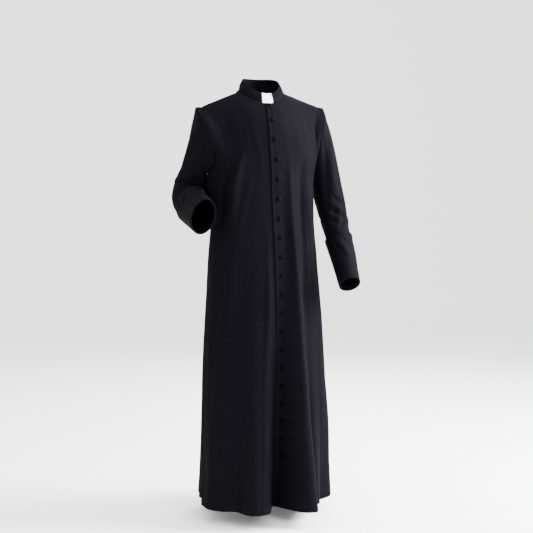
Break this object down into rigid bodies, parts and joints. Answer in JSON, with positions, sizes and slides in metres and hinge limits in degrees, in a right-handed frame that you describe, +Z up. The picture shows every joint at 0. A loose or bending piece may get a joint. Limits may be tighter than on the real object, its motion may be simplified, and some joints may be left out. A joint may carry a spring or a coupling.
{
  "type": "cassock",
  "caption": "Worn, hollow ankle-length cassock: stand collar with a white tab, buttoned front lapped left over right, set-in sleeves with deep cuffs, and a skirt that flares in soft folds.",
  "frame": {"origin": "middle of the neck seam, where the garment rests round the base of the wearer's neck", "axes": "+Z up, -Y out of the buttoned front, +X towards the wearer's left"},
  "size_m": [0.6239, 0.4664, 1.487],
  "materials": {
    "black_wool": "matte worsted wool",
    "button_cloth": "covered button, faint sheen",
    "white_tab": "smooth satin white"
  },
  "bodies": {
    "root": {"back": "black_wool", "front_left": "black_wool", "front_right": "black_wool", "sleeve_left": "black_wool", "sleeve_right": "black_wool", "cuff_left": "black_wool", "cuff_right": "black_wool", "collar": "black_wool", "collar_tab": "white_tab", "button_01": "button_cloth", "button_02": "button_cloth", "button_03": "button_cloth", "button_04": "button_cloth", "button_05": "button_cloth", "button_06": "button_cloth", "button_07": "button_cloth", "button_08": "button_cloth", "button_09": "button_cloth", "button_10": "button_cloth", "button_11": "button_cloth", "button_12": "button_cloth", "button_13": "button_cloth", "button_14": "button_cloth", "button_15": "button_cloth", "button_16": "button_cloth", "button_17": "button_cloth", "button_18": "button_cloth", "button_19": "button_cloth", "button_20": "button_cloth"}
  },
  "joints": []
}
